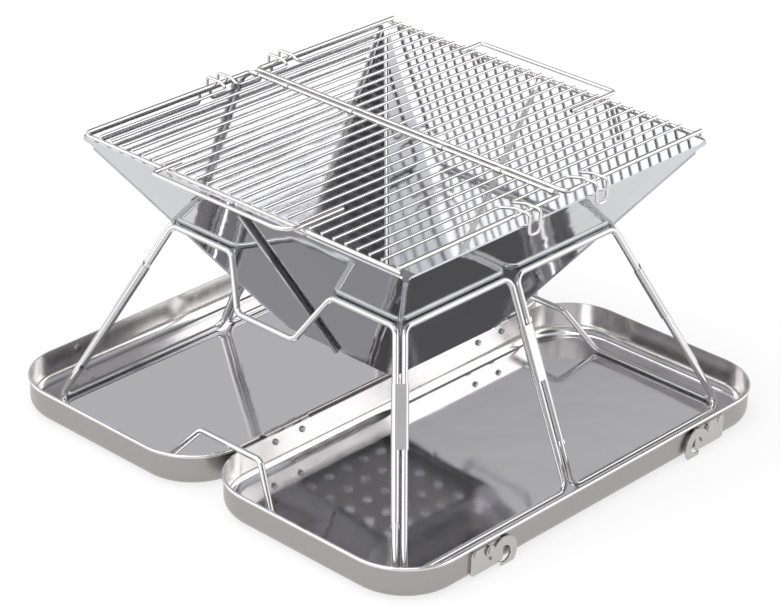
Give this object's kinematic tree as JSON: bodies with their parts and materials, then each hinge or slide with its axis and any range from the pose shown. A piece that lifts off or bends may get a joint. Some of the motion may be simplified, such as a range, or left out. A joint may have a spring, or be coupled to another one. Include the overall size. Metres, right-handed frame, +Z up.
{
  "type": "folding charcoal grill",
  "caption": "Folding charcoal grill: a sheet basin shaped as an upside-down pyramid, held by hinged wire loops with a two-part wire grate, standing in its open hinged carrying case.",
  "frame": {"origin": "centre of the bounding box's foot, on the table under the case's hinge", "axes": "+X along the case's hinge, +Y from the tray with the catches to the tray with the keepers, +Z up"},
  "size_m": [0.506, 0.525, 0.2868],
  "materials": {
    "tray_shell": "satin outside, mirror inside",
    "frame_wire": "bright",
    "sleeve_sheet": "bright rolled sheet",
    "panel_sheet": "mirror polished",
    "pin_wire": "dull",
    "grate_wire": "bright",
    "hardware": "nickel",
    "ash_sheet": "dull"
  },
  "bodies": {
    "case_front": {"tray_front": "tray_shell", "hinge_leaves_front": "hardware", "hinge_pins": "hardware", "hinge_rivets_front": "hardware", "catch_base_left": "hardware", "catch_base_right": "hardware", "catch_rivets_left": "hardware", "catch_rivets_right": "hardware"},
    "case_back": {"tray_back": "tray_shell", "hinge_leaves_back": "hardware", "hinge_rivets_back": "hardware", "keeper_left": "hardware", "keeper_right": "hardware", "keeper_rivets_left": "hardware", "keeper_rivets_right": "hardware"},
    "catch_left": {"catch_lever_left": "hardware"},
    "catch_right": {"catch_lever_right": "hardware"},
    "frame": {"frame_back_left": "frame_wire", "frame_back_right": "frame_wire", "frame_front_left": "frame_wire", "frame_front_right": "frame_wire", "frame_left": "frame_wire", "frame_right": "frame_wire", "sleeve_back_left": "sleeve_sheet", "sleeve_back_middle": "sleeve_sheet", "sleeve_back_right": "sleeve_sheet", "sleeve_front_left": "sleeve_sheet", "sleeve_front_middle": "sleeve_sheet", "sleeve_front_right": "sleeve_sheet"},
    "basin": {"basin_pin_front_left": "pin_wire", "basin_pin_front_right": "pin_wire", "basin_pin_left": "pin_wire", "basin_pin_rear_left": "pin_wire", "basin_pin_rear_right": "pin_wire", "basin_pin_right": "pin_wire", "panel_back": "panel_sheet", "panel_front": "panel_sheet", "panel_left_front": "panel_sheet", "panel_left_rear": "panel_sheet", "panel_right_front": "panel_sheet", "panel_right_rear": "panel_sheet"},
    "ash": {"ash_plate": "ash_sheet"},
    "grate_left": {"grate_bars_left": "grate_wire", "grate_border_left": "grate_wire", "grate_handle_left": "grate_wire", "grate_hooks_left": "grate_wire", "grate_rods_left": "grate_wire"},
    "grate_right": {"grate_bars_right": "grate_wire", "grate_border_right": "grate_wire", "grate_handle_right": "grate_wire", "grate_hooks_right": "grate_wire", "grate_rods_right": "grate_wire", "grate_clips": "grate_wire", "grate_links": "grate_wire"}
  },
  "joints": [
    {"name": "pit_lift", "type": "slide", "parent": "case_front", "child": "frame", "axis": [0, 0, 1], "range_m": [0, 1]},
    {"name": "case_hinge", "type": "hinge", "parent": "case_front", "child": "case_back", "pos_m": [0, 0, 0.0333], "axis": [1, 0, 0], "range_deg": [0, 180]},
    {"name": "catch_left_swing", "type": "hinge", "parent": "case_front", "child": "catch_left", "pos_m": [-0.1507, -0.2597, 0.022], "axis": [0, -1, 0], "range_deg": [0, 110]},
    {"name": "catch_right_swing", "type": "hinge", "parent": "case_front", "child": "catch_right", "pos_m": [0.1507, -0.2597, 0.022], "axis": [0, 1, 0], "range_deg": [0, 110]},
    {"name": "basin_lift", "type": "slide", "parent": "frame", "child": "basin", "axis": [0, 0, 1], "range_m": [0, 0.4]},
    {"name": "ash_lift", "type": "slide", "parent": "basin", "child": "ash", "axis": [0, 0, 1], "range_m": [0, 0.3]},
    {"name": "grate_lift", "type": "slide", "parent": "basin", "child": "grate_left", "axis": [0, 0, 1], "range_m": [0, 0.5]},
    {"name": "grate_fold", "type": "hinge", "parent": "grate_left", "child": "grate_right", "pos_m": [0.004, 0, 0.28162], "axis": [0, -1, 0], "range_deg": [0, 100]}
  ],
  "couplings": [
    {"joint": "case_hinge", "follows": "pit_lift", "rad_per_m": 3.1416},
    {"joint": "basin_lift", "follows": "pit_lift", "ratio": 0.4},
    {"joint": "ash_lift", "follows": "pit_lift", "ratio": 0.3},
    {"joint": "grate_lift", "follows": "pit_lift", "ratio": 0.5}
  ]
}
